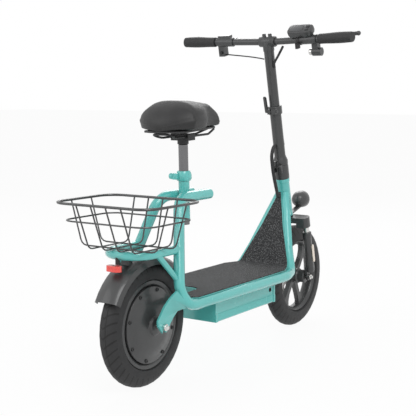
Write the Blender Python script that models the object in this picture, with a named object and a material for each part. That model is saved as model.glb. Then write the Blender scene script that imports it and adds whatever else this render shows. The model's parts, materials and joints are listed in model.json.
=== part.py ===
"""Seated folding electric scooter. Metres, +X forward, +Y left, +Z up, tyres on the ground at z = 0."""

import math

import bmesh
import bpy
import numpy as np
from mathutils import Vector

# Driving dimensions, in metres and degrees. X is counted forward from the rear axle.
wheel_radius = 0.178
tyre_width = 0.054
tyre_crown_flat = 0.010
wheelbase = 0.871
rim_radius = 0.125
tube_radius = 0.0159
tube_wall = 0.0022
gap = 0.0003
deck_half_width = 0.1225
deck_height = 0.230
rake_deg = 12.9
axis_foot_x = 0.8653
seat_tilt_deg = 1.95
seat_axis_x = 0.199
seat_axis_z = 0.558
seat_tube_radius = 0.0162
seat_tube_wall = 0.0015
seat_post_radius = 0.0142
seat_tube_drop = 0.0705
seat_tube_rise = 0.066
seat_post_bottom = 0.436
seat_post_top = 0.671
seat_travel_up = 0.10
stub_height = 0.522
stub_end_x = 0.283
head_tube_radius = 0.0228
head_tube_wall = 0.0035
head_tube_foot = 0.226
head_tube_top = 0.3602
steerer_radius = 0.0143
fork_offset = 0.0056
fork_leg_y = 0.069
fork_leg_radius = 0.0142
stanchion_radius = 0.0095
fork_travel = 0.012
crown_bottom = 0.188
crown_top = 0.2235
stem_lower_radius = 0.019
stem_wall = 0.0012
stem_upper_radius = 0.0168
fold_split = 0.4096
stem_lower_top = 0.6100
clamp_height = 0.028
stem_travel_down = 0.12
bar_height = 0.8289
bar_radius = 0.0112
bar_half_length = 0.3130
bar_rise = 0.010
bar_sweep = 0.020
rack_height = 0.3865
rack_tube_radius = 0.0125
rack_half_width = 0.0700
rack_centre_x = -0.0350
basket_rear_x = -0.192
basket_front_x = 0.062
basket_half_width = 0.166
basket_rim_z = 0.528
basket_mid_z = 0.4785
basket_rim_radius = 0.0038
basket_wire_radius = 0.0023
panel_thickness = 0.0020
mat_thickness = 0.0025
panel_rear_x = 0.085
panel_notch_x = 0.207
battery_rear_x = 0.222
battery_front_x = 0.572
battery_half_width = 0.095
battery_bottom = 0.147
battery_wall = 0.003
battery_cover_thickness = 0.012
fender_inner_radius = 0.1900
fender_thickness = 0.0030
fender_half_width = 0.041
hub_bolt_circle = 0.1006
rear_axle_radius = 0.006
rear_axle_half = 0.086
front_axle_half = 0.077

# The object's origin lies under the middle of its length: the basket rim's rear to the front tyre's front.
middle_x = (basket_rear_x - basket_rim_radius + wheelbase + wheel_radius) / 2

rake = math.radians(rake_deg)
axle = Vector((0, 0, wheel_radius))


def clear_scene():
    for thing in list(bpy.data.objects):
        bpy.data.objects.remove(thing, do_unlink=True)


def add_empty(name, place, turn=(0, 0, 0), parent=None):
    empty = bpy.data.objects.new(name, None)
    bpy.context.scene.collection.objects.link(empty)
    empty.parent = parent
    empty.location = place
    empty.rotation_euler = turn
    return empty


def paint(name, colour, roughness, metallic=0.0):
    material = bpy.data.materials.new(name)
    material.use_nodes = True
    shader = material.node_tree.nodes["Principled BSDF"]
    shader.inputs["Base Color"].default_value = (*colour, 1)
    shader.inputs["Roughness"].default_value = roughness
    shader.inputs["Metallic"].default_value = metallic
    return material


clear_scene()
scooter = add_empty("scooter", (-middle_x, 0, 0))
steering = add_empty("steering_axis", (axis_foot_x, 0, wheel_radius), (0, -rake, 0), scooter)
saddle_line = add_empty(
    "seat_axis", (seat_axis_x, 0, seat_axis_z), (0, -math.radians(seat_tilt_deg), 0), scooter
)
mint = paint("mint_paint", (0.16, 0.60, 0.57), 0.30)
dark = paint("dark_paint", (0.075, 0.078, 0.080), 0.42, 0.3)
black = paint("black_plastic", (0.022, 0.022, 0.023), 0.5)
rubber = paint("tyre_rubber", (0.030, 0.030, 0.031), 0.75)
steel = paint("bright_steel", (0.66, 0.65, 0.63), 0.25, 1.0)
grit = paint("grip_grit", (0.075, 0.075, 0.078), 0.9)
red = paint("red_lens", (0.85, 0.03, 0.03), 0.2)
cream = paint("cream_reflector", (0.86, 0.74, 0.62), 0.3)


def add_piece(name, bm, material, parent=scooter, hidden=False):
    """Makes an object from a bmesh whose faces are then turned outward."""
    bmesh.ops.recalc_face_normals(bm, faces=bm.faces)
    mesh = bpy.data.meshes.new(name)
    bm.to_mesh(mesh)
    bm.free()
    piece = bpy.data.objects.new(name, mesh)
    piece.parent = parent
    mesh.materials.append(material)
    bpy.context.scene.collection.objects.link(piece)
    if hidden:
        piece.hide_render = True
        piece.display_type = "WIRE"
    return piece


def join(piece, helper, operation="UNION"):
    step = piece.modifiers.new(helper.name, "BOOLEAN")
    step.operation = operation
    step.solver = "EXACT"
    step.object = helper
    helper.hide_render = True
    helper.display_type = "WIRE"


def loft(rings, closed=False):
    """A skin over rings of equal point counts, capped at both ends unless the rings close on themselves."""
    bm = bmesh.new()
    rows = [[bm.verts.new(point) for point in ring] for ring in rings]
    count = len(rows[0])
    spans = len(rows) if closed else len(rows) - 1
    for i in range(spans):
        first = rows[i]
        second = rows[(i + 1) % len(rows)]
        for j in range(count):
            k = (j + 1) % count
            bm.faces.new((first[j], first[k], second[k], second[j]))
    if not closed:
        bm.faces.new(rows[0])
        bm.faces.new(rows[-1])
    return bm


def circle(radius, count, start=0.0):
    turns = (start + 2 * math.pi * i / count for i in range(count))
    return [(radius * math.cos(t), radius * math.sin(t)) for t in turns]


def round_room(radius, count=16):
    """A circle whose flats clear the radius by the gap, for cutters."""
    return circle((radius + gap) / math.cos(math.pi / count), count)


def rounded_box_outline(half_x, half_y, radius, steps=3):
    points = []
    for i, (sx, sy) in enumerate(((1, 1), (-1, 1), (-1, -1), (1, -1))):
        for j in range(steps + 1):
            turn = math.pi / 2 * (i + j / steps)
            x = sx * (half_x - radius) + radius * math.cos(turn)
            y = sy * (half_y - radius) + radius * math.sin(turn)
            points.append((x, y))
    return points


def prism(outline, low, high, axis="Z"):
    """An outline raised between two heights along the named axis."""
    order = {"Z": lambda a, b, h: (a, b, h), "Y": lambda a, b, h: (a, h, b), "X": lambda a, b, h: (h, a, b)}[axis]
    return loft([[order(a, b, low) for a, b in outline], [order(a, b, high) for a, b in outline]])


def box(low, high):
    xs, ys, zs = zip(low, high)
    return prism([(xs[0], ys[0]), (xs[1], ys[0]), (xs[1], ys[1]), (xs[0], ys[1])], zs[0], zs[1])


def lathe(profile, count, axis="Z", centre=(0, 0, 0), closed=False):
    """A profile of (radius, height) turned about an axis through centre. A closed profile makes a ring."""
    turn = {"Z": lambda x, y, h: (x, y, h), "Y": lambda x, y, h: (x, h, y), "X": lambda x, y, h: (h, x, y)}[axis]
    bm = bmesh.new()
    middle = Vector(centre)
    rows = []
    for radius, height in profile:
        if radius == 0:
            rows.append([bm.verts.new(middle + Vector(turn(0, 0, height)))])
        else:
            points = circle(radius, count)
            rows.append([bm.verts.new(middle + Vector(turn(x, y, height))) for x, y in points])
    spans = len(rows) if closed else len(rows) - 1
    for i in range(spans):
        first = rows[i]
        second = rows[(i + 1) % len(rows)]
        for j in range(count):
            k = (j + 1) % count
            corners = [first[j % len(first)], first[k % len(first)], second[k % len(second)], second[j % len(second)]]
            corners = list(dict.fromkeys(corners))
            if len(corners) > 2:
                bm.faces.new(corners)
    if not closed:
        for row in (rows[0], rows[-1]):
            if len(row) > 1:
                bm.faces.new(row)
    return bm


def rounded_route(corners, radii, step_deg=15):
    """Points along straight runs joined by arcs. radii holds one bend radius for each inner corner."""
    corners = [Vector(corner) for corner in corners]
    route = [corners[0]]
    for before, corner, after, radius in zip(corners, corners[1:], corners[2:], radii):
        into = (corner - before).normalized()
        out = (after - corner).normalized()
        turn = into.angle(out)
        if turn < 1e-4 or radius <= 0:
            route.append(corner)
            continue
        start = corner - into * radius * math.tan(turn / 2)
        across = (out - into * out.dot(into)).normalized()
        steps = max(2, round(math.degrees(turn) / step_deg))
        for i in range(steps + 1):
            t = turn * i / steps
            route.append(start + into * radius * math.sin(t) + across * radius * (1 - math.cos(t)))
    route.append(corners[-1])
    return route


def sweep(route, section, closed=False, up=(0, 0, 1)):
    """A flat section carried along a route without twist. section is (side, up) pairs or a function of the share."""
    points = [Vector(point) for point in route]
    count = len(points)
    normal = Vector(up)
    rings = []
    for i, point in enumerate(points):
        if closed:
            along = points[(i + 1) % count] - points[i - 1]
        else:
            along = points[min(i + 1, count - 1)] - points[max(i - 1, 0)]
        along.normalize()
        normal = normal - along * normal.dot(along)
        normal.normalize()
        side = along.cross(normal)
        shape = section(i / max(count - 1, 1)) if callable(section) else section
        rings.append([point + side * a + normal * b for a, b in shape])
    return loft(rings, closed)


def cable(name, points, radius, parent):
    """A round cable on a smooth curve through hand-placed points, read at even steps."""
    hand = [Vector(point) for point in points]
    ends = [2 * hand[0] - hand[1], *hand, 2 * hand[-1] - hand[-2]]
    smooth = []
    for a, b, c, d in zip(ends, ends[1:], ends[2:], ends[3:]):
        steps = max(2, round((c - b).length / (5 * radius)))
        for i in range(steps):
            t = i / steps
            smooth.append(0.5 * (2 * b + (c - a) * t + (2 * a - 5 * b + 4 * c - d) * t**2 + (3 * b - a - 3 * c + d) * t**3))
    smooth.append(hand[-1])
    data = bpy.data.curves.new(name, "CURVE")
    data.dimensions = "3D"
    data.bevel_depth = radius
    data.bevel_resolution = 2
    data.use_fill_caps = True
    line = data.splines.new("POLY")
    line.points.add(len(smooth) - 1)
    for point, place in zip(line.points, smooth):
        point.co = (*place, 1)
    cord = bpy.data.objects.new(name, data)
    cord.parent = parent
    data.materials.append(black)
    bpy.context.scene.collection.objects.link(cord)
    return cord


# Frame tubes: head tube, down the front rise, along the deck, up beside the rear wheel and forward as a stub handle.
front_lean = 0.4661
front_splay = 0.3389
rear_lean = 0.3583
rear_splay = 0.2559
front_leg_x = 0.7059
front_leg_y = 0.0687
front_leg_z = 0.30
rear_leg_x = 0.0185
rear_leg_y = 0.110
leg_top_z = 0.490
stub_y = tube_radius + seat_tube_radius + gap
seat_tube_top = stub_height + seat_tube_rise
seat_tube_bottom = stub_height - seat_tube_drop


def front_leg(z):
    return Vector((front_leg_x + (z - front_leg_z) * front_lean, front_leg_y - (z - front_leg_z) * front_splay, z))


def rear_leg(z):
    return Vector((rear_leg_x + (z - deck_height) * rear_lean, rear_leg_y - (z - deck_height) * rear_splay, z))


corner_x = front_leg(deck_height).x
corner_y = 0.0985
turn_in_x = 0.60


def plate_strip(pairs, thickness):
    """A bent plate through pairs of left and right edge points, thick along Y."""
    rings = []
    for left, right in pairs:
        (x1, y1, z1), (x2, y2, z2) = left, right
        rings.append([(x1, y1, z1), (x2, y2, z2), (x2, y2 - thickness, z2), (x1, y1 - thickness, z1)])
    return loft(rings)


def make_frame_tube(name, side):
    route = [
        tuple(front_leg(leg_top_z)),
        tuple(front_leg(front_leg_z)),
        (corner_x, corner_y, deck_height),
        (turn_in_x, deck_half_width, deck_height),
        tuple(rear_leg(deck_height)),
        tuple(rear_leg(stub_height - 0.03)),
        (rear_leg(stub_height).x, stub_y, stub_height),
        (stub_end_x, stub_y, stub_height),
    ]
    bends = [0.2, 0.036, 0.08, 0.056, 0, 0.055]
    points = [Vector((p[0], side * p[1], p[2])) for p in rounded_route(route, bends)]
    tube = add_piece(name, sweep(points, circle(tube_radius, 12), up=(0, 1, 0)), mint)
    ends = [points[0] * 2 - points[1], *points[1:-1], points[-1] * 2 - points[-2]]
    hollow = sweep(ends, circle(tube_radius - tube_wall, 12), up=(0, 1, 0))
    join(tube, add_piece(f"{name}_bore_cut", hollow, mint, scooter, True), "DIFFERENCE")
    head_room_radius = (head_tube_radius + 0.0012 + gap) / math.cos(math.pi / 24)
    head_room = lathe([(head_room_radius, head_tube_foot - 0.02), (head_room_radius, head_tube_top + 0.02)], 24)
    join(tube, add_piece(f"{name}_head_cut", head_room, mint, steering, True), "DIFFERENCE")
    low, high = sorted((-side * 0.1, side * gap / 2))
    mitre = add_piece(f"{name}_mitre_cut", box((0.66, low, 0.38), (0.90, high, 0.56)), mint, scooter, True)
    join(tube, mitre, "DIFFERENCE")
    blade_y = 0.066
    thickness = 0.006
    pairs = [
        ((-0.006, blade_y, wheel_radius - 0.016), (0.012, blade_y, wheel_radius - 0.016)),
        ((-0.026, blade_y, wheel_radius + 0.006), (0.026, blade_y, wheel_radius + 0.001)),
        ((-0.027, blade_y, wheel_radius + 0.022), (0.046, blade_y, wheel_radius + 0.021)),
        ((-0.002, blade_y + 0.004, deck_height + 0.0055), (0.056, blade_y + 0.006, deck_height - 0.016)),
        ((0.000, 0.088, deck_height + 0.032), (0.060, 0.100, deck_height - 0.004)),
        ((0.010, 0.104, deck_height + 0.052), (0.056, 0.112, deck_height + 0.006)),
    ]
    pairs = [tuple((x, side * (y + thickness), z) for x, y, z in pair) for pair in pairs]
    blade = plate_strip(pairs, side * thickness)
    join(tube, add_piece(f"{name}_dropout", blade, mint, scooter, True))
    slot_radius = rear_axle_radius + gap
    slot = rounded_box_outline(slot_radius, 0.02, slot_radius, 4)
    slot = [(x, z + wheel_radius - 0.02 + slot_radius) for x, z in slot]
    low, high = sorted((side * 0.05, side * 0.085))
    join(tube, add_piece(f"{name}_slot_cut", prism(slot, low, high, "Y"), mint, scooter, True), "DIFFERENCE")
    return tube


make_frame_tube("frame_tube_right", -1)
make_frame_tube("frame_tube_left", 1)

flange_height = 0.0133
bore = head_tube_radius - head_tube_wall
add_piece(
    "head_tube",
    lathe(
        [
            (bore, head_tube_foot),
            (head_tube_radius + 0.0012, head_tube_foot),
            (head_tube_radius + 0.0012, head_tube_foot + 0.010),
            (head_tube_radius, head_tube_foot + 0.012),
            (head_tube_radius, head_tube_top - flange_height),
            (head_tube_radius + 0.0016, head_tube_top - flange_height + 0.001),
            (head_tube_radius + 0.0016, head_tube_top),
            (bore, head_tube_top),
        ],
        32,
        closed=True,
    ),
    mint,
    steering,
)
tube_low = (seat_tube_bottom - seat_axis_z)
tube_high = (seat_tube_top - seat_axis_z)
add_piece(
    "seat_tube",
    lathe(
        [
            (seat_post_radius + gap, tube_low),
            (seat_tube_radius, tube_low),
            (seat_tube_radius, tube_high),
            (seat_post_radius + gap, tube_high),
        ],
        24,
        closed=True,
    ),
    mint,
    saddle_line,
)


def make_rack():
    """A U-shaped tube with a strut on each side. It butts against the legs."""
    arc = [
        (rack_centre_x - rack_half_width * math.sin(math.pi * i / 12), rack_half_width * math.cos(math.pi * i / 12), rack_height)
        for i in range(13)
    ]
    reach = rear_leg(rack_height).x
    route = [(reach, rack_half_width, rack_height), *arc, (reach, -rack_half_width, rack_height)]
    rack = add_piece("rear_rack", sweep(route, circle(rack_tube_radius, 12)), mint)
    strut_radius = 0.0085
    for side in (1, -1):
        top = Vector((-0.030, side * rack_half_width, rack_height))
        foot = rear_leg(0.300)
        foot = Vector((foot.x, side * foot.y, foot.z))
        strut = sweep([top, foot], circle(strut_radius, 10), up=(0, 1, 0))
        join(rack, add_piece(f"rack_strut_{side}", strut, mint, scooter, True))
        leg_room = sweep(
            [(p.x, side * p.y, p.z) for p in (rear_leg(0.255), rear_leg(0.46))],
            round_room(tube_radius),
            up=(0, 1, 0),
        )
        join(rack, add_piece(f"rack_leg_cut_{side}", leg_room, mint, scooter, True), "DIFFERENCE")
        low, high = sorted((side * 0.03, side * 0.16))
        past = box((rear_leg(rack_height).x - 0.004, low, rack_height - 0.03), (0.2, high, rack_height + 0.03))
        join(rack, add_piece(f"rack_end_cut_{side}", past, mint, scooter, True), "DIFFERENCE")
        beyond = sweep(
            [(p.x + tube_radius + 0.016, side * p.y, p.z) for p in (rear_leg(0.24), rear_leg(0.345))],
            circle(tube_radius + 0.012, 12),
            up=(0, 1, 0),
        )
        join(rack, add_piece(f"rack_strut_cut_{side}", beyond, mint, scooter, True), "DIFFERENCE")
    return rack


make_rack()

# Deck panel and mat: one path for both, along the deck and up the front rise between the tubes.
panel_bend = 0.020


def panel_width(x, z):
    """Half width of the panel: it reaches the tubes' top line on the deck and their rear line on the rise."""
    if x < turn_in_x:
        return deck_half_width - 0.004
    if z < front_leg_z:
        share = (x - turn_in_x) / (corner_x - turn_in_x)
        return deck_half_width - 0.004 - 0.030 * min(max(share, 0), 1)
    return max(front_leg(z).y - 0.001, 0.006)


def sheet(low, high, inset):
    """A bent sheet between two offsets from the tubes' top line, set in from the panel's edge by inset."""
    rise = Vector((front_lean, 0, 1)).normalized()
    rear_way = Vector((-rise.z, 0, rise.x))
    top_z = 0.474
    rings = []
    for offset in (low, high):
        clear = tube_radius + gap + offset
        floor_z = deck_height + clear
        foot = front_leg(floor_z)
        start = Vector((foot.x, 0, foot.z)) + rear_way * clear
        lift = (floor_z - start.z) / rise.z
        knee = start + rise * lift
        top = Vector((front_leg(top_z).x, 0, top_z)) + rear_way * clear
        route = rounded_route([(panel_notch_x, 0, floor_z), knee, top], [panel_bend], 18)
        dense = [Vector((panel_rear_x + inset, 0, floor_z)), Vector((0.104, 0, floor_z)), *route]
        dense.insert(3, Vector((turn_in_x, 0, floor_z)))
        dense.insert(-1, dense[-2].lerp(dense[-1], 0.5))
        rings.append(dense)
    bm = bmesh.new()
    rows = []
    for under, over in zip(*rings):
        half = panel_width(under.x, under.z) - inset
        if under.x < 0.10:
            half = 0.097 - inset
        row = []
        for share in (-1, -0.5, 0, 0.5, 1):
            row.append((bm.verts.new((under.x, half * share, under.z)), bm.verts.new((over.x, half * share, over.z))))
        rows.append(row)
    for first, second in zip(rows, rows[1:]):
        for (a, b), (c, d), (e, f), (g, h) in zip(first, first[1:], second, second[1:]):
            bm.faces.new((a, c, g, e))
            bm.faces.new((b, f, h, d))
        for i in (0, -1):
            bm.faces.new((first[i][0], second[i][0], second[i][1], first[i][1]))
    for row in (rows[0], rows[-1]):
        for (a, b), (c, d) in zip(row, row[1:]):
            bm.faces.new((a, b, d, c))
    return bm


def make_deck_sheet(name, low, high, inset, material):
    piece = add_piece(name, sheet(low, high, inset), material)
    notch = rounded_box_outline(panel_notch_x - 0.02 + inset, 0.050 + inset, 0.03, 4)
    notch = [(x + 0.02, y) for x, y in notch]
    wheel_room = prism(notch, deck_height - 0.02, deck_height + 0.06)
    join(piece, add_piece(f"{name}_wheel_cut", wheel_room, material, scooter, True), "DIFFERENCE")
    return piece


make_deck_sheet("deck_panel", 0, panel_thickness, 0, mint)
make_deck_sheet("grip_mat", panel_thickness + gap, panel_thickness + gap + mat_thickness, 0.003, grit)


# Battery case: an extrusion with a groove along each side, closed in front, with a cover behind.
battery_top = deck_height + tube_radius
groove_z = battery_bottom + 0.026


def battery_outline(grow=0.0):
    half = battery_half_width + grow
    low = battery_bottom - grow
    right = [
        (half - 0.004, low),
        (half, low + 0.004),
        (half, groove_z - 0.0015),
        (half - 0.0015, groove_z),
        (half - 0.0012, groove_z + 0.0015),
        (half - 0.0012, battery_top),
    ]
    return right + [(-y, z) for y, z in reversed(right)]


case = add_piece("battery_case", prism(battery_outline(), battery_rear_x + 0.012, battery_front_x - 0.009, "X"), mint)
front_lip = prism(battery_outline(0.0025)[1:-1], battery_front_x - 0.0092, battery_front_x, "X")
join(case, add_piece("battery_front_lip", front_lip, mint, scooter, True))
hollow = box(
    (battery_rear_x, -battery_half_width + battery_wall + 0.0015, battery_bottom + battery_wall),
    (battery_front_x - 0.012, battery_half_width - battery_wall - 0.0015, battery_top - battery_wall),
)
join(case, add_piece("battery_hollow_cut", hollow, mint, scooter, True), "DIFFERENCE")
port_x = battery_front_x - 0.028
port_z = 0.192
port_radius = 0.0070
port_face = -battery_half_width + 0.0012
port_room = lathe([(port_radius + gap, port_face - 0.01), (port_radius + gap, port_face + 0.02)], 20, "Y", (port_x, 0, port_z))
join(case, add_piece("charge_port_cut", port_room, mint, scooter, True), "DIFFERENCE")
port_profile = [
    (0, port_face + 0.012),
    (port_radius, port_face + 0.012),
    (port_radius, port_face - 0.001),
    (port_radius - 0.002, port_face - 0.0015),
    (port_radius - 0.0025, port_face + 0.003),
    (0, port_face + 0.003),
]
add_piece("charge_port", lathe(port_profile, 20, "Y", (port_x, 0, port_z)), black)
cover_outline = battery_outline(0.0025)[1:-1]
cover = prism(cover_outline, battery_rear_x, battery_rear_x + battery_cover_thickness - gap, "X")
add_piece("battery_cover", cover, mint)
add_piece(
    "battery_cells",
    box(
        (battery_rear_x + 0.014, -0.076, battery_bottom + battery_wall + gap),
        (battery_front_x - 0.040, 0.076, battery_top - 0.012),
    ),
    black,
)


# Rear fender: an arched channel with bevelled skirts, and a lug that reaches the rack.
def fender_section(inner, outer):
    half = fender_half_width
    wall = fender_thickness
    outside = [(-half, -0.019), (-half + 0.004, -0.004), (-half + 0.013, 0.004), (0, 0.0065)]
    outside += [(half - 0.013, 0.004), (half - 0.004, -0.004), (half, -0.019)]
    inside = [(half - wall, -0.019), (half - wall - 0.004, -0.005), (half - 0.014, 0.004 - wall), (0, 0.0065 - wall)]
    inside += [(-half + 0.014, 0.004 - wall), (-half + wall + 0.004, -0.005), (-half + wall, -0.019)]
    return outside + inside


fender_start_deg = 38
fender_end_deg = 152
fender_steps = 14
fender_rings = []
for i in range(fender_steps + 1):
    turn = math.radians(fender_start_deg + (fender_end_deg - fender_start_deg) * i / fender_steps)
    way = Vector((math.cos(turn), 0, math.sin(turn)))
    ring = [axle + way * (fender_inner_radius + up) + Vector((0, across, 0)) for across, up in fender_section(0, 0)]
    fender_rings.append(ring)
fender = add_piece("rear_fender", loft(fender_rings), dark)
lug = box((-0.080, -0.012, 0.352), (-0.062, 0.012, rack_height + 0.002))
join(fender, add_piece("fender_lug", lug, dark, scooter, True))
arm = box((-0.100, -0.012, rack_height - 0.006), (-0.062, 0.012, rack_height + 0.002))
join(fender, add_piece("fender_arm", arm, dark, scooter, True))
rack_arc = [
    (rack_centre_x - rack_half_width * math.sin(t), rack_half_width * math.cos(t), rack_height)
    for t in np.linspace(math.pi / 4, 3 * math.pi / 4, 7)
]
rack_room = sweep(rack_arc, round_room(rack_tube_radius))
join(fender, add_piece("fender_rack_cut", rack_room, dark, scooter, True), "DIFFERENCE")

light_x = -0.1265
light_z = 0.3545
light_height = 0.0165
lens = rounded_box_outline(0.0105, 0.023, 0.009, 4)
add_piece("taillight_lens", prism([(x + light_x, y) for x, y in lens], light_z - light_height / 2, light_z + light_height / 2), red)
post_x = rack_centre_x - rack_half_width - 0.006
post = lathe([(0, light_z + light_height / 2 + gap), (0.0064, light_z + light_height / 2 + gap), (0.0064, rack_height), (0, rack_height)], 14, "Z", (post_x, 0, 0))
post_piece = add_piece("taillight_post", post, black)
post_cut = sweep(rack_arc, round_room(rack_tube_radius))
join(post_piece, add_piece("taillight_post_cut", post_cut, black, scooter, True), "DIFFERENCE")


def make_basket():
    """Rim, middle ring and six U-shaped wires, fused where they cross."""
    floor_z = rack_height + rack_tube_radius + gap + basket_wire_radius + 0.0003
    middle = (basket_rear_x + basket_front_x) / 2
    half = (basket_front_x - basket_rear_x) / 2

    def ring(name, half_x, half_y, shift, z, corner, radius, sides, steps):
        outline = rounded_box_outline(half_x, half_y, corner, steps)
        route = [(middle + shift + x, y, z) for x, y in outline]
        return add_piece(name, sweep(route, circle(radius, sides), closed=True), dark, scooter, name != "wire_basket")

    basket = ring("wire_basket", half, basket_half_width, 0, basket_rim_z, 0.050, basket_rim_radius, 8, 5)
    mid = ring("basket_mid_ring", half - 0.0185, basket_half_width - 0.0190, 0.002, basket_mid_z, 0.040, 0.0025, 6, 4)
    join(basket, mid)
    bend = 0.022
    for i, y in enumerate((-0.075, -0.025, 0.025, 0.075)):
        corners = [
            (basket_rear_x + 0.001, y, basket_rim_z),
            (basket_rear_x + 0.052, y, floor_z),
            (0.030, y, floor_z),
            (basket_front_x - 0.001, y, basket_rim_z),
        ]
        route = rounded_route(corners, [bend, bend], 25)
        wire = sweep(route, circle(basket_wire_radius, 6), up=(0, 1, 0))
        join(basket, add_piece(f"basket_wire_long_{i}", wire, dark, scooter, True))
    cross_z = floor_z + 0.0030
    for i, x in enumerate((-0.1065, -0.0235)):
        side_y = basket_half_width - 0.001
        corners = [(x, side_y, basket_rim_z), (x, 0.128, cross_z), (x, -0.128, cross_z), (x, -side_y, basket_rim_z)]
        route = rounded_route(corners, [bend, bend], 25)
        wire = sweep(route, circle(basket_wire_radius, 6), up=(1, 0, 0))
        join(basket, add_piece(f"basket_wire_cross_{i}", wire, dark, scooter, True))


make_basket()

# Rear wheel: tyre, motor shell with its rim, cover with its bolt ring, and the fixed axle.


def tyre_profile(count=14):
    """A closed tyre section: round outside with a narrow flat tread, and a seat on the rim."""
    half = tyre_width / 2
    depth = wheel_radius - rim_radius
    points = []
    for i in range(count + 1):
        turn = math.pi * i / count
        across = half * math.copysign(abs(math.cos(turn)) ** 0.85, math.cos(turn))
        out = rim_radius + 0.004 + (depth - 0.004) * math.sin(turn) ** 0.8
        points.append((min(out, wheel_radius), across))
    inner = [(rim_radius + gap, -half + 0.006), (rim_radius + gap, half - 0.006)]
    return points + inner


def make_tyre(name, centre_x):
    add_piece(name, lathe(tyre_profile(), 40, "Y", (centre_x, 0, wheel_radius), closed=True), rubber)


make_tyre("rear_tyre", 0)
make_tyre("front_tyre", wheelbase)

shell_half = 0.0235
shell_wall = 0.0045
shell_profile = [
    (rim_radius, -shell_half),
    (rim_radius, shell_half),
    (0.119, shell_half + 0.001),
    (0.100, 0.030),
    (0.040, 0.038),
    (0.022, 0.044),
    (rear_axle_radius + gap, 0.044),
    (rear_axle_radius + gap, 0.038 - shell_wall),
    (0.040, 0.038 - shell_wall),
    (0.099, 0.030 - shell_wall),
    (0.1085, 0.020),
    (0.1085, -0.0195),
    (0.116, -shell_half - 0.001),
]
add_piece("motor_shell", lathe(shell_profile, 40, "Y", tuple(axle), closed=True), dark)
cover_profile = [
    (rear_axle_radius + gap, -0.0198),
    (0.1085, -0.0198),
    (0.1085, -0.0265),
    (0.105, -0.0285),
    (0.094, -0.0290),
    (0.088, -0.0330),
    (0.060, -0.0370),
    (0.032, -0.0390),
    (0.027, -0.0400),
    (0.0255, -0.0460),
    (0.0225, -0.0475),
    (rear_axle_radius + gap, -0.0475),
]
add_piece("motor_cover", lathe(cover_profile, 40, "Y", tuple(axle), closed=True), dark)
nut_face = 0.0660 + 0.006 + gap
axle_profile = [
    (0, -rear_axle_half),
    (0.0055, -rear_axle_half),
    (rear_axle_radius, -rear_axle_half + 0.001),
    (rear_axle_radius, -nut_face - 0.009),
    (0.0100, -nut_face - 0.008),
    (0.0100, -nut_face),
    (rear_axle_radius, -nut_face),
    (rear_axle_radius, nut_face),
    (0.0100, nut_face),
    (0.0100, nut_face + 0.008),
    (rear_axle_radius, nut_face + 0.009),
    (rear_axle_radius, rear_axle_half - 0.001),
    (0.0055, rear_axle_half),
    (0, rear_axle_half),
]
add_piece("rear_axle", lathe(axle_profile, 12, "Y", tuple(axle)), steel)

# Front wheel: cast rim with six curved spokes, brake disc on the left.
front_centre = (wheelbase, 0, wheel_radius)
hub_radius = 0.024
front_axle_radius = 0.005


def polar(turn, radius):
    return (wheelbase + radius * math.cos(turn), wheel_radius + radius * math.sin(turn))


def spoke_outline(turn):
    """A spoke seen along the axle: a narrow waist that flares into the hub and the rim, and curves as it runs out."""
    stations = [(hub_radius - 0.003, 0.011, 0.0), (0.045, 0.0085, 0.05), (0.075, 0.0085, 0.11), (0.098, 0.013, 0.16), (0.1135, 0.021, 0.19)]
    left = [polar(turn + bow + half / radius, radius) for radius, half, bow in stations]
    right = [polar(turn + bow - half / radius, radius) for radius, half, bow in stations]
    return left + right[::-1]


rim_profile = [
    (rim_radius, -0.0205),
    (rim_radius, 0.0205),
    (rim_radius - 0.0035, 0.0225),
    (0.115, 0.0170),
    (0.1115, 0.0100),
    (0.1115, -0.0100),
    (0.115, -0.0170),
    (rim_radius - 0.0035, -0.0225),
]
rim = add_piece("front_rim", lathe(rim_profile, 40, "Y", front_centre, closed=True), dark)
for i in range(6):
    turn = math.radians(44 + 60 * i)
    join(rim, add_piece(f"spoke_{i}", prism(spoke_outline(turn), -0.0085, 0.0085, "Y"), dark, scooter, True))
hub_profile = [
    (front_axle_radius + gap, -0.050),
    (0.019, -0.050),
    (0.022, -0.048),
    (0.022, -0.026),
    (hub_radius + 0.002, -0.022),
    (hub_radius + 0.002, 0.022),
    (0.020, 0.026),
    (0.020, 0.040),
    (front_axle_radius + gap, 0.040),
]
join(rim, add_piece("front_hub", lathe(hub_profile, 24, "Y", front_centre, closed=True), dark, scooter, True))
disc_profile = [(0.0203, 0.0402), (0.070, 0.0402), (0.070, 0.0424), (0.0203, 0.0424)]
disc_profile = [(front_axle_radius + gap, 0.0403), (0.070, 0.0403), (0.070, 0.0425), (front_axle_radius + gap, 0.0425)]
disc = add_piece("brake_disc", lathe(disc_profile, 32, "Y", front_centre, closed=True), steel)
for i in range(10):
    x, z = polar(2 * math.pi * i / 10, 0.052)
    hole = lathe([(0.0085, 0.03), (0.0085, 0.05)], 8, "Y", (x, 0, z))
    join(disc, add_piece(f"disc_hole_{i}", hole, steel, scooter, True), "DIFFERENCE")
tang_y = 0.055
tang_thickness = 0.007
front_nut = tang_y + tang_thickness + gap
front_axle_profile = [
    (0, -front_axle_half),
    (front_axle_radius, -front_axle_half + 0.001),
    (front_axle_radius, -front_nut - 0.008),
    (0.0085, -front_nut - 0.0075),
    (0.0085, -front_nut),
    (front_axle_radius, -front_nut),
    (front_axle_radius, front_nut),
    (0.0085, front_nut),
    (0.0085, front_nut + 0.0075),
    (front_axle_radius, front_nut + 0.008),
    (front_axle_radius, front_axle_half - 0.001),
    (0, front_axle_half),
]
add_piece("front_axle", lathe(front_axle_profile, 12, "Y", front_centre), steel)

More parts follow.
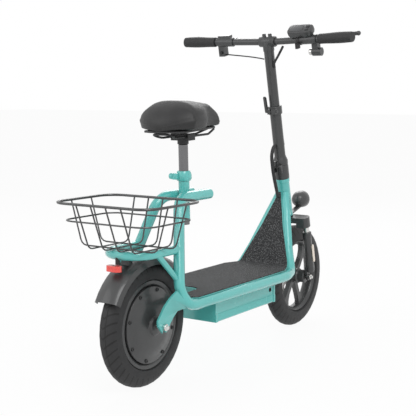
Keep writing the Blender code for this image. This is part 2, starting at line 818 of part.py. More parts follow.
# Fork: crown with its steerer, stanchions, and legs that slide on them along the steering axis.
crown_outline = rounded_box_outline(0.020, fork_leg_y + 0.017, 0.016, 4)
crown = add_piece(
    "fork_crown", prism([(x + 0.001, y) for x, y in crown_outline], crown_bottom, crown_top, "Z"), dark, steering
)
arch = prism(rounded_box_outline(0.03, 0.046, 0.010, 2), crown_bottom - 0.01, crown_bottom + 0.016)
join(crown, add_piece("crown_arch_cut", arch, dark, steering, True), "DIFFERENCE")
steerer_top = 0.405
steerer = lathe([(0, crown_top - 0.006), (steerer_radius, crown_top - 0.006), (steerer_radius, steerer_top), (0, steerer_top)], 20)
join(crown, add_piece("steerer", steerer, dark, steering, True))
leg_x = fork_offset + 0.004
leg_low = 0.018
leg_top = 0.166
stanchion_foot = 0.100
for word, side in (("right", -1), ("left", 1)):
    leg_y = side * fork_leg_y
    rod = [(0, stanchion_foot), (stanchion_radius, stanchion_foot), (stanchion_radius, crown_bottom - gap), (0, crown_bottom - gap)]
    add_piece(f"stanchion_{word}", lathe(rod, 16, "Z", (leg_x, leg_y, 0)), steel, steering)
    bore = stanchion_radius + gap
    sleeve = [
        (0, leg_low),
        (fork_leg_radius - 0.003, leg_low),
        (fork_leg_radius, leg_low + 0.006),
        (fork_leg_radius, leg_top - 0.022),
        (fork_leg_radius + 0.001, leg_top - 0.020),
        (fork_leg_radius + 0.001, leg_top - 0.002),
        (fork_leg_radius - 0.001, leg_top),
        (bore, leg_top),
        (bore, stanchion_foot - fork_travel - 0.006),
        (0, stanchion_foot - fork_travel - 0.006),
    ]
    leg = add_piece(f"fork_leg_{word}", lathe(sleeve, 18, "Z", (leg_x, leg_y, 0)), dark, steering)
    tang = rounded_box_outline(0.011, 0.026, 0.010, 3)
    tang = [(x + fork_offset, z + 0.012) for x, z in tang]
    low, high = sorted((side * tang_y, side * (tang_y + tang_thickness)))
    join(leg, add_piece(f"fork_tang_{word}", prism(tang, low, high, "Y"), dark, steering, True))
    web = box((leg_x - 0.007, min(side * (tang_y + 0.001), side * 0.066), 0.020), (leg_x + 0.007, max(side * (tang_y + 0.001), side * 0.066), 0.040))
    join(leg, add_piece(f"fork_web_{word}", web, dark, steering, True))
    axle_room = lathe([(front_axle_radius + gap, -0.09), (front_axle_radius + gap, 0.09)], 16, "Y", (fork_offset, 0, -0.0013))
    join(leg, add_piece(f"fork_axle_cut_{word}", axle_room, dark, steering, True), "DIFFERENCE")
    shape = rounded_box_outline(0.0065, 0.032, 0.006, 3)
    shape = [(x + leg_x + 0.003, z + 0.087) for x, z in shape]
    plate_y = fork_leg_y + fork_leg_radius + gap
    low, high = sorted((side * plate_y, side * (plate_y + 0.003)))
    add_piece(f"reflector_{word}", prism(shape, low, high, "Y"), cream, steering)

# Headlight: a deep bowl on a bracket that rises from the crown.
lamp_aim = add_empty("headlight_aim", (0.1049, 0, 0.2489), (0, rake, 0), steering)
bowl = [(0, -0.030), (0.012, -0.0275), (0.022, -0.019), (0.0285, -0.005), (0.0295, 0.008), (0.0295, 0.020), (0.0265, 0.024), (0, 0.024)]
lamp = add_piece("headlight", lathe(bowl, 24, "X"), dark, lamp_aim)
stay_outline = [
    (0.0213, crown_top - 0.020),
    (0.0250, crown_top - 0.020),
    (0.0262, 0.2195),
    (0.100, 0.2240),
    (0.100, 0.2300),
    (0.0262, 0.2250),
    (0.0213, 0.2240),
]
stay = prism(stay_outline, -0.009, 0.009, "Y")
join(lamp, add_piece("headlight_stay", stay, dark, steering, True))

# Folding joint: the base on the steerer, the hinge casting above it, and the latch in front.
base_profile = [
    (steerer_radius + gap, head_tube_top + gap),
    (0.0245, head_tube_top + gap),
    (0.0250, head_tube_top + 0.006),
    (0.0250, fold_split - 0.004),
    (0.0240, fold_split - gap),
    (0, fold_split - gap),
    (0, steerer_top + gap),
    (steerer_radius + gap, steerer_top + gap),
]
base = add_piece("fold_base", lathe(base_profile, 28, closed=True), dark, steering)
hinge_x = -0.027
hinge_z = fold_split
hinge_radius = 0.0065
for i, (low, high) in enumerate(((-0.018, -0.0083), (0.0083, 0.018))):
    knuckle = lathe([(0.0, low), (hinge_radius, low), (hinge_radius, high), (0.0, high)], 14, "Y", (hinge_x, 0, hinge_z))
    join(base, add_piece(f"fold_base_knuckle_{i}", knuckle, dark, steering, True))
    foot = box((hinge_x - 0.004, low, hinge_z - 0.022), (hinge_x + 0.008, high, hinge_z - 0.001))
    join(base, add_piece(f"fold_base_foot_{i}", foot, dark, steering, True))
upper_profile = [
    (0, fold_split + gap),
    (0.0240, fold_split + gap),
    (0.0250, fold_split + 0.004),
    (0.0250, fold_split + 0.014),
    (0.0215, fold_split + 0.024),
    (stem_lower_radius, fold_split + 0.030),
    (stem_lower_radius, stem_lower_top),
    (stem_upper_radius + gap, stem_lower_top),
    (stem_upper_radius + gap, fold_split + 0.040),
    (0, fold_split + 0.040),
]
lower_stem = add_piece("stem_lower_tube", lathe(upper_profile, 28), dark, steering)
knuckle_room = lathe([(0, -0.03), (hinge_radius + 0.0008, -0.03), (hinge_radius + 0.0008, 0.03), (0, 0.03)], 16, "Y", (hinge_x, 0, hinge_z))
join(lower_stem, add_piece("stem_knuckle_cut", knuckle_room, dark, steering, True), "DIFFERENCE")
tongue = lathe([(0, -0.008), (hinge_radius, -0.008), (hinge_radius, 0.008), (0, 0.008)], 14, "Y", (hinge_x, 0, hinge_z))
join(lower_stem, add_piece("stem_knuckle", tongue, dark, steering, True))
tongue_arm = box((hinge_x - 0.005, -0.008, hinge_z + 0.002), (hinge_x + 0.009, 0.008, hinge_z + 0.018))
join(lower_stem, add_piece("stem_knuckle_arm", tongue_arm, dark, steering, True))
base_room = box((hinge_x - 0.02, -0.0083, hinge_z - 0.0085), (hinge_x + 0.0085, 0.0083, hinge_z + 0.02))
join(base, add_piece("fold_base_tongue_cut", base_room, dark, steering, True), "DIFFERENCE")
latch_x = 0.0256
latch_foot = fold_split - 0.020
latch_top = 0.492
latch_outline = [
    (latch_x, latch_foot),
    (latch_x + 0.007, latch_foot),
    (latch_x + 0.007, fold_split + 0.018),
    (0.0245, fold_split + 0.034),
    (0.0245, latch_top - 0.018),
    (0.0300, latch_top - 0.022),
    (0.0285, latch_top - 0.004),
    (0.0225, latch_top + 0.006),
    (0.0193, latch_top + 0.006),
    (0.0193, fold_split + 0.034),
    (latch_x, fold_split + 0.017),
]
add_piece("fold_latch", prism(latch_outline, -0.006, 0.006, "Y"), dark, steering)

# Height clamp on the lower stem, its lever, and the upper stem that slides inside.
clamp_low = stem_lower_top - 0.024
clamp_profile = [
    (stem_lower_radius + gap, clamp_low),
    (0.0225, clamp_low),
    (0.0235, clamp_low + 0.002),
    (0.0235, clamp_low + clamp_height - 0.002),
    (0.0215, clamp_low + clamp_height),
    (stem_upper_radius + gap, clamp_low + clamp_height),
    (stem_upper_radius + gap, stem_lower_top + gap),
    (stem_lower_radius + gap, stem_lower_top + gap),
]
collar = add_piece("height_clamp", lathe(clamp_profile, 28, closed=True), dark, steering)
clamp_mid = clamp_low + clamp_height / 2
boss_x = -0.0250
bolt = lathe([(0, -0.024), (0.0045, -0.024), (0.0045, 0.0135), (0, 0.0135)], 12, "Y", (boss_x, 0, clamp_mid))
for i, (low, high) in enumerate(((-0.018, -0.002), (0.002, 0.0135))):
    ear = box((boss_x - 0.006, low, clamp_mid - 0.009), (-0.016, high, clamp_mid + 0.009))
    join(collar, add_piece(f"height_clamp_ear_{i}", ear, dark, steering, True))
join(collar, add_piece("height_clamp_bolt", bolt, dark, steering, True))
collar_room = lathe([(stem_lower_radius + gap, clamp_low - 0.02), (stem_lower_radius + gap, stem_lower_top + gap)], 28)
join(collar, add_piece("height_clamp_bore_cut", collar_room, dark, steering, True), "DIFFERENCE")
lever_y = 0.0140
lever_outline = [
    (boss_x - 0.0050, clamp_mid - 0.0025),
    (boss_x - 0.0025, clamp_mid - 0.0050),
    (boss_x + 0.0025, clamp_mid - 0.0050),
    (boss_x + 0.0050, clamp_mid - 0.0025),
    (boss_x + 0.0050, clamp_mid + 0.0025),
    (boss_x + 0.0040, clamp_mid + 0.010),
    (boss_x + 0.0010, clamp_mid + 0.046),
    (boss_x - 0.0050, clamp_mid + 0.052),
    (boss_x - 0.0090, clamp_mid + 0.048),
    (boss_x - 0.0065, clamp_mid + 0.010),
]
lever_pivot = add_empty("height_clamp_axis", (0, 0, 0), (0, 0, 0), steering)
add_piece("height_clamp_lever", prism(lever_outline, lever_y, lever_y + 0.008, "Y"), dark, lever_pivot)

stem_foot = fold_split + 0.042 + stem_travel_down
inner_stem = [
    (0, stem_foot),
    (stem_upper_radius, stem_foot),
    (stem_upper_radius, bar_height - 0.006),
    (0, bar_height - 0.006),
]
upper = add_piece("stem_upper_tube", lathe(inner_stem, 28), dark, steering)
head = lathe([(0, -0.0285), (0.0165, -0.0285), (0.0175, -0.027), (0.0175, 0.027), (0.0165, 0.0285), (0, 0.0285)], 20, "Y", (0, 0, bar_height))
join(upper, add_piece("bar_clamp", head, dark, steering, True))
neck = lathe([(0, bar_height - 0.030), (0.0185, bar_height - 0.030), (0.0185, bar_height), (0, bar_height)], 28)
join(upper, add_piece("bar_clamp_neck", neck, dark, steering, True))
for i, y in enumerate((-0.011, 0.011)):
    screw = lathe([(0, bar_height + 0.012), (0.0065, bar_height + 0.012), (0.0065, bar_height + 0.025), (0.004, bar_height + 0.027), (0, bar_height + 0.027)], 10, "Z", (-0.002, y, 0))
    join(upper, add_piece(f"bar_clamp_screw_{i}", screw, dark, steering, True))
bar_room = lathe([(bar_radius + gap, -0.05), (bar_radius + gap, 0.05)], 24, "Y", (0, 0, bar_height))
join(upper, add_piece("bar_clamp_cut", bar_room, dark, steering, True), "DIFFERENCE")


def bar_point(y):
    """The bar's centre line: straight at the clamp, then rising and sweeping back toward the tips."""
    share = max(abs(y) - 0.035, 0) / (bar_half_length - 0.035)
    return Vector((-bar_sweep * share, y, bar_height + bar_rise * share))


def along_bar(low, high, section, count=2):
    ys = np.linspace(low, high, count)
    return sweep([bar_point(y) for y in ys], section, up=(0, 0, 1))


bar_ys = [-bar_half_length + 0.004, -0.20, -0.12, -0.06, -0.035, 0.035, 0.06, 0.12, 0.20, bar_half_length - 0.004]
core_ys = [bar_ys[0] - gap, *bar_ys[1:-1], bar_ys[-1] + gap]
add_piece("handlebar", sweep([bar_point(y) for y in bar_ys], circle(bar_radius, 16)), dark, steering)
for word, side in (("right", -1), ("left", 1)):
    inner = 0.196

    def grip_section(share):
        palm = max(0.0, math.sin(math.pi * min(max((share - 0.2) / 0.85, 0), 1)))
        return [
            (a * (0.0172 + (0.012 * palm if a * side > 0 else 0)) / 1.0, b * (0.0160 + 0.0015 * palm))
            for a, b in circle(1.0, 14)
        ]

    stops = np.linspace(inner, bar_half_length, 8) * side
    grip = add_piece(f"grip_{word}", sweep([bar_point(y) for y in stops], grip_section), rubber, steering)
    core = sweep([bar_point(y) for y in core_ys], round_room(bar_radius))
    join(grip, add_piece(f"grip_core_cut_{word}", core, rubber, steering, True), "DIFFERENCE")


def bar_bore_cut(piece, name):
    core = sweep([bar_point(y) for y in core_ys], round_room(bar_radius))
    join(piece, add_piece(f"{name}_bar_cut", core, dark, steering, True), "DIFFERENCE")


def make_control(name, side, parts):
    """A block clamped round the bar, with the named solids fused to it."""
    y_in, y_out = 0.128, 0.186
    ys = sorted((side * y_in, side * y_out))
    block = add_piece(name, along_bar(*ys, circle(0.0150, 16), 3), dark, steering)
    for i, solid in enumerate(parts):
        join(block, add_piece(f"{name}_{i}", solid, dark, steering, True))
    bar_bore_cut(block, name)
    return block


perch_y = 0.150
perch_right = box((-0.001, -0.162, bar_height - 0.004), (0.034, -0.140, bar_height + 0.010))
key_x, key_z = -0.004, bar_height - 0.036
key_radius = 0.0115
key_housing = lathe([(0, -0.196), (0.0135, -0.196), (0.0135, -0.165), (key_radius, -0.163), (0, -0.163)], 18, "Y", (key_x, 0, key_z))
key_neck = box((-0.013, -0.186, key_z + 0.004), (0.009, -0.1655, bar_height - 0.006))
display_post = box((-0.014, -0.166, bar_height + 0.004), (0.006, -0.140, bar_height + 0.0208))
make_control("right_control", -1, [perch_right, key_housing, key_neck, display_post])
key_face = [(0, -0.1627), (key_radius - 0.001, -0.1627), (key_radius - 0.001, -0.154), (key_radius - 0.003, -0.152), (0, -0.152)]
add_piece("key_barrel", lathe(key_face, 18, "Y", (key_x, 0, key_z)), steel, steering)
perch_left = box((-0.001, 0.140, bar_height - 0.004), (0.034, 0.162, bar_height + 0.010))
switch = box((-0.016, 0.164, bar_height - 0.043), (0.010, 0.186, bar_height - 0.006))
switch_top = box((-0.014, 0.142, bar_height + 0.006), (0.010, 0.184, bar_height + 0.026))
left_control = make_control("left_control", 1, [perch_left, switch, switch_top])
button_y = 0.175
button_z = bar_height - 0.030
button_radius = 0.0050
button_face = -0.0222
button_foot = -0.0152
button_travel = 0.002
button_profile = [
    (0, button_face),
    (button_radius - 0.0006, button_face),
    (button_radius, button_face + 0.0010),
    (button_radius, button_foot),
    (0, button_foot),
]
button = lathe(button_profile, 12, "X", (0, button_y, button_z))
room_radius = (button_radius + gap) / math.cos(math.pi / 12)
room_end = button_foot + button_travel + gap
button_room = lathe([(room_radius, button_face), (room_radius, room_end)], 12, "X", (0, button_y, button_z))
join(left_control, add_piece("horn_button_cut", button_room, dark, steering, True), "DIFFERENCE")
add_piece("horn_button", button, black, steering)

display_outline = rounded_box_outline(0.0150, 0.0375, 0.012, 4)
screen = add_empty("display_tilt", (-0.006, -0.129, bar_height + 0.0211), (0, math.radians(0), 0), steering)
display = add_piece("display", prism([(x * 1.2, y) for x, y in display_outline], 0, 0.020, "Z"), dark, screen)

paddle_y = 0.120
throttle_profile = [(0.0115 + gap + 0.0001, -0.1275), (0.0165, -0.1275), (0.0165, -0.117), (0.0115 + gap + 0.0001, -0.117)]
throttle_empty = add_empty("throttle_axis", tuple(bar_point(-0.122)), (0, 0, 0), steering)
throttle_ring = sweep([bar_point(y) - bar_point(-0.122) for y in (-0.1275, -0.117)], circle(0.0165, 16))
throttle = add_piece("throttle_lever", throttle_ring, black, throttle_empty)
paddle = box((-0.028, -0.005, -0.024), (-0.010, 0.004, -0.006))
join(throttle, add_piece("throttle_paddle", paddle, black, throttle_empty, True))
throttle_bore = sweep([bar_point(y) - bar_point(-0.122) for y in (-0.15, -0.09)], circle((bar_radius + gap) / math.cos(math.pi / 16), 16))
join(throttle, add_piece("throttle_bore_cut", throttle_bore, black, throttle_empty, True), "DIFFERENCE")

for word, side in (("right", -1), ("left", 1)):
    pivot = (0.0415, side * 0.150, bar_height + 0.003)
    empty = add_empty(f"brake_lever_{word}_axis", pivot, (0, 0, 0), steering)
    route = [(0, 0, 0), (0.006, side * 0.030, 0), (0.010, side * 0.075, 0.002), (0.006, side * 0.125, 0.005), (0.004, side * 0.152, 0.007)]
    route = rounded_route(route, [0.05, 0.08, 0.08])
    blade = add_piece(f"brake_lever_{word}", sweep(route, [(a * 0.0040, b * 0.0065) for a, b in circle(1, 10)]), dark, empty)
    ball = bmesh.new()
    bmesh.ops.create_uvsphere(ball, u_segments=10, v_segments=6, radius=0.0078)
    bmesh.ops.translate(ball, verts=ball.verts, vec=(0.004, side * 0.154, 0.007))
    join(blade, add_piece(f"brake_lever_{word}_ball", ball, dark, empty, True))
    eye = lathe([(0, -0.0065), (0.0068, -0.0065), (0.0068, 0.0065), (0, 0.0065)], 12)
    join(blade, add_piece(f"brake_lever_{word}_eye", eye, dark, empty, True))

# Cables: brake cable from the left block, wires from the right side, and the power cable loop in two halves.
left_cable_points = [
    (-0.004, 0.1637, bar_height - 0.038),
    (-0.006, 0.120, bar_height - 0.042),
    (-0.008, 0.070, bar_height - 0.047),
    (-0.008, 0.030, bar_height - 0.053),
    (-0.008, 0.0165, bar_height - 0.056),
]
cable("left_cable", left_cable_points, 0.0022, steering)
bar_wire_points = [
    (-0.006, -0.058, bar_height - 0.0155),
    (-0.006, -0.048, bar_height - 0.030),
    (-0.007, -0.034, bar_height - 0.050),
    (-0.008, -0.0200, bar_height - 0.070),
    (-0.008, -0.0198, bar_height - 0.085),
]
cable("bar_wires", bar_wire_points, 0.0042, steering)
loop_radius = 0.006
loop_mid = (-0.046, 0.006, 0.392)
upper_loop_points = [(-0.0243, 0.002, 0.482), (-0.034, 0.004, 0.474), (-0.044, 0.006, 0.452), (-0.0465, 0.006, 0.425), loop_mid]
cable("cable_loop_upper", upper_loop_points, loop_radius, steering)
lower_loop_points = [(-0.046, 0.006, 0.3914), (-0.045, 0.005, 0.370), (-0.0435, 0.003, 0.342), (-0.0430, 0.001, 0.322), (-0.0430, 0.0, 0.3066)]
cable("cable_loop_lower", lower_loop_points, loop_radius, steering)

# Seat: clamp and lever on the seat tube, post, clamp head, rails, base and cushion.
seat_clamp_low = seat_tube_top - 0.022 - seat_axis_z
seat_clamp_high = seat_clamp_low + 0.0285
clamp_ring = [
    (seat_tube_radius + gap, seat_clamp_low),
    (0.0205, seat_clamp_low),
    (0.0240, seat_clamp_low + 0.007),
    (0.0240, seat_clamp_low + 0.018),
    (0.0195, seat_clamp_high),
    (seat_post_radius + gap, seat_clamp_high),
    (seat_post_radius + gap, seat_tube_top - seat_axis_z + gap),
    (seat_tube_radius + gap, seat_tube_top - seat_axis_z + gap),
]
seat_clamp = add_piece("seat_clamp", lathe(clamp_ring, 10, closed=True), mint, saddle_line)
seat_mid = (seat_clamp_low + seat_clamp_high) / 2
lug_box = box((-0.0330, 0.003, seat_mid - 0.009), (-0.0185, 0.018, seat_mid + 0.009))
join(seat_clamp, add_piece("seat_clamp_lug", lug_box, mint, saddle_line, True))
seat_room = lathe([(seat_tube_radius + gap + 0.0004, seat_clamp_low - 0.02), (seat_tube_radius + gap + 0.0004, seat_tube_top - seat_axis_z + gap)], 24)
join(seat_clamp, add_piece("seat_clamp_bore_cut", seat_room, mint, saddle_line, True), "DIFFERENCE")
post_room = lathe([(seat_post_radius + gap + 0.0004, seat_clamp_low - 0.02), (seat_post_radius + gap + 0.0004, seat_clamp_high + 0.02)], 24)
join(seat_clamp, add_piece("seat_clamp_post_cut", post_room, mint, saddle_line, True), "DIFFERENCE")
seat_lever = lathe([(0, 0.0183), (0.0085, 0.0183), (0.0090, 0.0195), (0.0090, 0.0290), (0.0070, 0.0310), (0, 0.0310)], 14, "Y", (-0.0260, 0, seat_mid))
seat_lever_piece = add_piece("seat_clamp_lever", seat_lever, mint, saddle_line)
tail = box((-0.0300, 0.0200, seat_mid - 0.0050), (0.020, 0.0285, seat_mid + 0.0050))
tail_room = box((-0.0170, 0.0100, seat_mid - 0.02), (0.03, 0.0245, seat_mid + 0.02))
join(seat_lever_piece, add_piece("seat_clamp_lever_tail", tail, mint, saddle_line, True))
join(seat_lever_piece, add_piece("seat_clamp_lever_room_cut", tail_room, mint, saddle_line, True), "DIFFERENCE")

post_low = seat_post_bottom - seat_axis_z
post_high = seat_post_top - seat_axis_z
seat_post = [(0, post_low), (seat_post_radius, post_low), (seat_post_radius, post_high), (0.0110, post_high + 0.001), (0.0110, post_high + 0.010), (0, post_high + 0.010)]
add_piece("seat_post", lathe(seat_post, 24), steel, saddle_line)
rail_y = 0.022
rail_radius = 0.0035
rail_z = post_high + 0.024
saddle_clamp = lathe([(0.0113, post_high + 0.0014), (0.0165, post_high + 0.0014), (0.0165, post_high + 0.014), (0, post_high + 0.014), (0, post_high + 0.0104), (0.0113, post_high + 0.0104)], 18, closed=True)
clamp_head = add_piece("saddle_clamp", saddle_clamp, black, saddle_line)
bridge = box((-0.018, -0.031, rail_z - 0.0115), (0.018, 0.031, rail_z + 0.0075))
join(clamp_head, add_piece("saddle_clamp_bridge", bridge, black, saddle_line, True))
for i, side in enumerate((-1, 1)):
    room = sweep([(-0.03, side * rail_y, rail_z), (0.03, side * rail_y, rail_z)], circle(rail_radius + gap * 1.5, 12))
    join(clamp_head, add_piece(f"saddle_rail_cut_{i}", room, black, saddle_line, True), "DIFFERENCE")
base_z = 0.7110 - seat_axis_z
rail_route = rounded_route(
    [
        (0.145, 0.012, base_z - 0.004),
        (0.100, rail_y, rail_z),
        (-0.075, rail_y, rail_z),
        (-0.105, 0.040, base_z - 0.004),
        (-0.105, -0.040, base_z - 0.004),
        (-0.075, -rail_y, rail_z),
        (0.100, -rail_y, rail_z),
        (0.145, -0.012, base_z - 0.004),
    ],
    [0.03, 0.03, 0.012, 0.012, 0.03, 0.03],
    30,
)
add_piece("saddle_rails", sweep(rail_route, circle(rail_radius, 8)), black, saddle_line)


def saddle_width(x):
    """Half width of the saddle at x, from the broad rear to the narrow nose."""
    rear, nose = -0.118, 0.178
    share = min(max((x - rear) / (nose - rear), 0), 1)
    broad = 0.100 - 0.062 / (1 + math.exp(-(share - 0.50) * 13))
    end = min(1.0, (share / 0.14)) ** 0.45 if share < 0.14 else 1.0
    tip = (max(1 - share, 0) / 0.14) ** 0.5 if share > 0.86 else 1.0
    return max(broad * end * tip, 0.004)


def saddle_top(x):
    share = (x + 0.118) / 0.296
    crown = 0.0840 - 0.020 * share**1.5
    end = (min(share, 0.22) / 0.22) ** 0.45 if share < 0.22 else 1.0
    tip = (max(1 - share, 0) / 0.24) ** 0.5 if share > 0.76 else 1.0
    return crown * min(end, tip)


def saddle_skin(low, crown_scale, grow, count_x=16, count_around=20):
    rings = []
    for i in range(count_x + 1):
        share = 0.5 - 0.5 * math.cos(math.pi * (0.03 + 0.94 * i / count_x))
        x = -0.118 + 0.296 * share
        half = saddle_width(x) + grow
        high = saddle_top(x) * crown_scale
        ring = []
        for j in range(count_around):
            turn = 2 * math.pi * j / count_around
            c, s = math.cos(turn), math.sin(turn)
            y = half * math.copysign(abs(c) ** 0.75, c)
            if s >= 0:
                drop = 0.016 * max(0, share - 0.45) * min(1, s * 4)
                z = low + 0.010 + high * s**0.8 - drop
            else:
                z = low + 0.010 * (1 - abs(s) ** 0.6)
            ring.append((x, y * (1.0 if s > 0.2 else 0.93), z))
        rings.append(ring)
    return loft(rings)


add_piece("saddle_cushion", saddle_skin(base_z + 0.0058, 0.90, 0, 18, 24), rubber, saddle_line)
under = rounded_box_outline(0.130, 0.030, 0.028, 3)
under = [(x + 0.015, y * (2.4 if x < -0.02 else 1)) for x, y in under]
base_plate = prism(under, base_z, base_z + 0.0055)
add_piece("saddle_base", base_plate, black, saddle_line)

# Kickstand under the left frame tube, down at rest: a round head on its pin, and a leg out to the ground.
stand_x = 0.240
stand_head_radius = 0.0112
stand_leg_radius = 0.0075
along_deck = (stand_x - rear_leg_x) / (turn_in_x - rear_leg_x)
stand_y = rear_leg_y + (deck_half_width - rear_leg_y) * along_deck
stand_z = deck_height - tube_radius - gap - stand_head_radius
stand_axis = add_empty("kickstand_axis", (stand_x, stand_y, stand_z), (0, 0, 0), scooter)
stand_foot = (0.085, 0.125, 0.0045 - stand_z)
stand_route = rounded_route([(0, 0.020, 0), (0.030, 0.050, -0.060), stand_foot], [0.08])
stand = add_piece("kickstand", sweep(stand_route, circle(stand_leg_radius, 10), up=(0, 1, 0)), dark, stand_axis)
stand_ends = [(0, -0.012), (stand_head_radius, -0.012), (stand_head_radius, 0.026), (0, 0.026)]
join(stand, add_piece("kickstand_head", lathe(stand_ends, 16, "Y"), dark, stand_axis, True))
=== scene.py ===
import json
import math

import bmesh
import bpy
import numpy as np
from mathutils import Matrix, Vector


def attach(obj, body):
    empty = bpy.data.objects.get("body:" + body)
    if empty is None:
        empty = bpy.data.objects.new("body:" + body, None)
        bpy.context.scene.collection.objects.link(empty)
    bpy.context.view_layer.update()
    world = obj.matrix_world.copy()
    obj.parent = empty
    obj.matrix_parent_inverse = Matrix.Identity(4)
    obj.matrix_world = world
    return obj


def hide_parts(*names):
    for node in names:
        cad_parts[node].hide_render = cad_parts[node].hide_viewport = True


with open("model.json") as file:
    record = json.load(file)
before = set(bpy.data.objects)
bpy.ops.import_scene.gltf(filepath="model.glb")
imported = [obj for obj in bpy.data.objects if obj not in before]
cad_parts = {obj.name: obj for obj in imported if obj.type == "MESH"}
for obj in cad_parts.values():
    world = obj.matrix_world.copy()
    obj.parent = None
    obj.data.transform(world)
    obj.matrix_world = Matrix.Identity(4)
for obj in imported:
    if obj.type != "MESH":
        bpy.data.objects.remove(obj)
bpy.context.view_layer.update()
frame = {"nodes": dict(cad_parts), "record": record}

nodes = frame["nodes"]
bodyOf = {node: body for body, members in frame["record"]["behaviour"]["bodies"].items() for node in members}
slotOf = {part["node"]: part["material_slot"] for part in frame["record"]["subparts"]}

# The frame counts X from the middle of the scooter's length, so the wheels stand at these places.
place = {"rearX": -0.4266, "frontX": 0.4444, "wheelZ": 0.178, "rake": math.radians(12.9), "steerFootX": 0.4387}


# A point given along and square to the steering axis, turned back by the rake: arrays or numbers.
def steerPoint(x, y, z):
    c, s = math.cos(place["rake"]), math.sin(place["rake"])
    return place["steerFootX"] + x * c - z * s, y + 0 * x, place["wheelZ"] + x * s + z * c


# A shader socket with the operators of arithmetic, so that a pattern is written as a formula.
class Sock:
    def __init__(self, tree, socket):
        self.tree = tree
        self.socket = socket

    def make(self, operation, *values):
        node = self.tree.nodes.new("ShaderNodeMath")
        node.operation = operation
        for port, value in zip(node.inputs, values):
            if isinstance(value, Sock):
                self.tree.links.new(value.socket, port)
            else:
                port.default_value = value
        return Sock(self.tree, node.outputs[0])

    def __add__(self, other):
        return self.make("ADD", self, other)

    def __radd__(self, other):
        return self.make("ADD", other, self)

    def __sub__(self, other):
        return self.make("SUBTRACT", self, other)

    def __rsub__(self, other):
        return self.make("SUBTRACT", other, self)

    def __mul__(self, other):
        return self.make("MULTIPLY", self, other)

    def __rmul__(self, other):
        return self.make("MULTIPLY", other, self)

    def __lt__(self, other):
        return self.make("LESS_THAN", self, other)

    def __gt__(self, other):
        return self.make("GREATER_THAN", self, other)


# One material: its shader, one method that makes any node, and the few patterns that the finishes share.
class Finish:
    def __init__(self, name, roughness, metallic=0.0, coat=0.0):
        self.material = bpy.data.materials.new(name)
        self.material.use_nodes = True
        self.tree = self.material.node_tree
        self.shader = self.tree.nodes["Principled BSDF"]
        self.shader.inputs["Metallic"].default_value = metallic
        self.shader.inputs["Roughness"].default_value = roughness
        self.shader.inputs["Coat Weight"].default_value = coat
        self.shader.inputs["Coat Roughness"].default_value = 0.08
        self.spot = self.node("ShaderNodeTexCoord", {}, {}).outputs["Object"]

    def node(self, kind, settings, values):
        node = self.tree.nodes.new(kind)
        for key, value in settings.items():
            setattr(node, key, value)
        for key, value in values.items():
            if isinstance(value, Sock):
                value = value.socket
            if isinstance(value, bpy.types.NodeSocket):
                self.tree.links.new(value, node.inputs[key])
            else:
                node.inputs[key].default_value = value
        return node

    def noise(self, scale, detail=4.0, stretch=(1, 1, 1)):
        move = self.node("ShaderNodeMapping", {}, {"Vector": self.spot, "Scale": stretch})
        made = self.node("ShaderNodeTexNoise", {}, {"Vector": move.outputs[0], "Scale": scale, "Detail": detail})
        return Sock(self.tree, made.outputs["Fac"])

    def cells(self, scale):
        made = self.node("ShaderNodeTexVoronoi", {}, {"Vector": self.spot, "Scale": scale})
        return Sock(self.tree, made.outputs["Distance"])

    def axes(self):
        made = self.node("ShaderNodeSeparateXYZ", {}, {"Vector": self.spot})
        return [Sock(self.tree, out) for out in made.outputs]

    def tint(self, amount, low, high):
        mix = self.node("ShaderNodeMix", {"data_type": "RGBA"}, {0: amount, 6: (*low, 1), 7: (*high, 1)})
        self.tree.links.new(mix.outputs[2], self.shader.inputs["Base Color"])

    def rough(self, amount, low, high):
        self.tree.links.new((low + amount * (high - low)).socket, self.shader.inputs["Roughness"])

    def bump(self, height, strength, distance):
        made = self.node("ShaderNodeBump", {}, {"Strength": strength, "Distance": distance, "Height": height})
        self.tree.links.new(made.outputs[0], self.shader.inputs["Normal"])


# Sprayed paint: a slow drift of tone, a fine unevenness of gloss and the faint orange peel of the spray.
def paintFinish(name, low, high, roughness, metallic, coat):
    spray = {"drift": 9.0, "gloss": 60.0, "peel": 420.0, "strength": 0.05, "depth": 0.0002}
    finish = Finish(name, roughness, metallic, coat)
    finish.tint(finish.noise(spray["drift"]), low, high)
    finish.rough(finish.noise(spray["gloss"], 6), roughness - 0.06, roughness + 0.08)
    finish.bump(finish.noise(spray["peel"], 2), spray["strength"], spray["depth"])
    return finish.material


# Moulded plastic or rubber: spark-eroded grain from small cells.
def mouldedFinish(name, low, high, roughness, grainScale, depth):
    finish = Finish(name, roughness)
    grain = finish.cells(grainScale)
    finish.tint(finish.noise(30, 5), low, high)
    finish.rough(grain, roughness - 0.08, roughness + 0.14)
    finish.bump(grain, 0.35, depth)
    return finish.material


# Grit on the deck mat: light specks stand above the dark base.
def gritFinish():
    grit = {"scale": 330, "level": 0.57, "strength": 0.8, "depth": 0.0010}
    finish = Finish("deck_grit", 0.9)
    speck = finish.noise(grit["scale"], 3)
    finish.tint(speck > grit["level"], (0.022, 0.023, 0.024), (0.150, 0.152, 0.156))
    finish.rough(speck, 0.80, 1.0)
    finish.bump(speck, grit["strength"], grit["depth"])
    return finish.material


